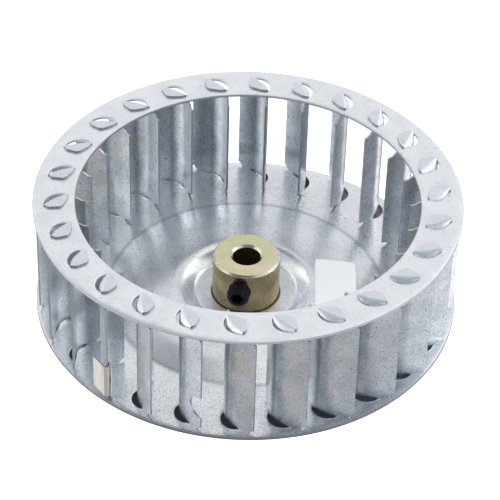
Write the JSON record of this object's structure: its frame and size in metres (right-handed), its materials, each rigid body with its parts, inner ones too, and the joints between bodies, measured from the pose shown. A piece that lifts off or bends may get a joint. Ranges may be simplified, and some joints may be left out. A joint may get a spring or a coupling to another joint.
{
  "type": "blower wheel",
  "caption": "Forward-curved blower wheel: folded sheet blades between an inlet ring and a dished back plate, on a bored hub with a radial set screw.",
  "frame": {"origin": "on the wheel's axis, level with the underside of the blade tabs folded under the back plate", "axes": "+Z along the wheel's axis from the back plate to the open inlet ring; +X to the right and +Y away from the viewer in the picture"},
  "size_m": [0.119, 0.119, 0.0361],
  "materials": {
    "galvanised_ring": "galvanised sheet, bright, faintly mottled",
    "galvanised_plate": "galvanised sheet, bright, faintly mottled",
    "galvanised_blade": "galvanised sheet, bright, faintly mottled",
    "yellow_zinc": "turned steel, yellow chromated zinc",
    "black_oxide": "black oxide",
    "spring_steel": "plain spring strip",
    "white_paper": "blank coated paper sticker"
  },
  "bodies": {
    "wheel": {"inlet_ring": "galvanised_ring", "back_plate": "galvanised_plate", "blade_01": "galvanised_blade", "blade_02": "galvanised_blade", "blade_03": "galvanised_blade", "blade_04": "galvanised_blade", "blade_05": "galvanised_blade", "blade_06": "galvanised_blade", "blade_07": "galvanised_blade", "blade_08": "galvanised_blade", "blade_09": "galvanised_blade", "blade_10": "galvanised_blade", "blade_11": "galvanised_blade", "blade_12": "galvanised_blade", "blade_13": "galvanised_blade", "blade_14": "galvanised_blade", "blade_15": "galvanised_blade", "blade_16": "galvanised_blade", "blade_17": "galvanised_blade", "blade_18": "galvanised_blade", "blade_19": "galvanised_blade", "blade_20": "galvanised_blade", "blade_21": "galvanised_blade", "blade_22": "galvanised_blade", "blade_23": "galvanised_blade", "blade_24": "galvanised_blade", "blade_25": "galvanised_blade", "blade_26": "galvanised_blade", "hub": "yellow_zinc", "balance_clip": "spring_steel", "label": "white_paper"},
    "set_screw": {"set_screw": "black_oxide"}
  },
  "joints": [
    {"name": "set_screw_travel", "type": "slide", "parent": "wheel", "child": "set_screw", "axis": [-0.1822, -0.9833, 0], "range_m": [-0.0081, 0.0033]}
  ]
}
